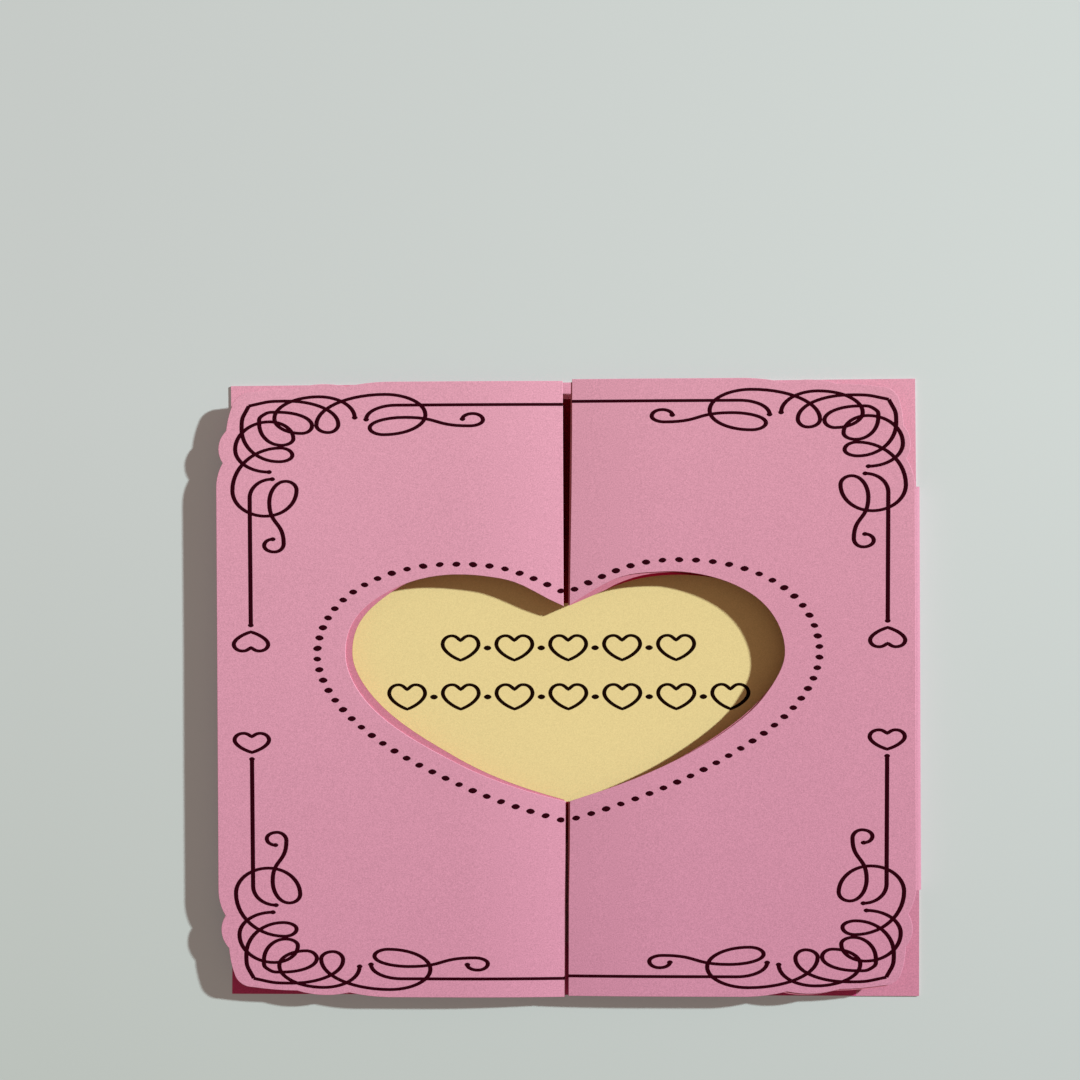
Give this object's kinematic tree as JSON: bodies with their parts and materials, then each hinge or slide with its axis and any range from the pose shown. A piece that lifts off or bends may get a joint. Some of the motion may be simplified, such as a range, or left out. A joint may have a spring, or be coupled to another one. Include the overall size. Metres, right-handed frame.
{
  "type": "greeting card",
  "caption": "Gate-fold greeting card lying closed on its back, with scalloped door panels, scroll borders and a heart-shaped window onto a cream inner panel.",
  "frame": {"origin": "middle of the back panel's underside", "axes": "+X across the card to the right, +Y up the card to its top edge, +Z out of the front"},
  "size_m": [0.1424, 0.1255, 0.0043],
  "materials": {
    "base_card": "matte dyed card",
    "cream_paper": "matte cream paper",
    "printed_pink_paper": "matte printed paper with a fine grain",
    "dark_ink": "matte dark print"
  },
  "bodies": {
    "root": {"card_base": "base_card", "inner_panel": "cream_paper", "left_front_panel": "printed_pink_paper", "right_front_panel": "printed_pink_paper", "left_print": "dark_ink", "right_print": "dark_ink", "inner_print": "dark_ink"}
  },
  "joints": []
}
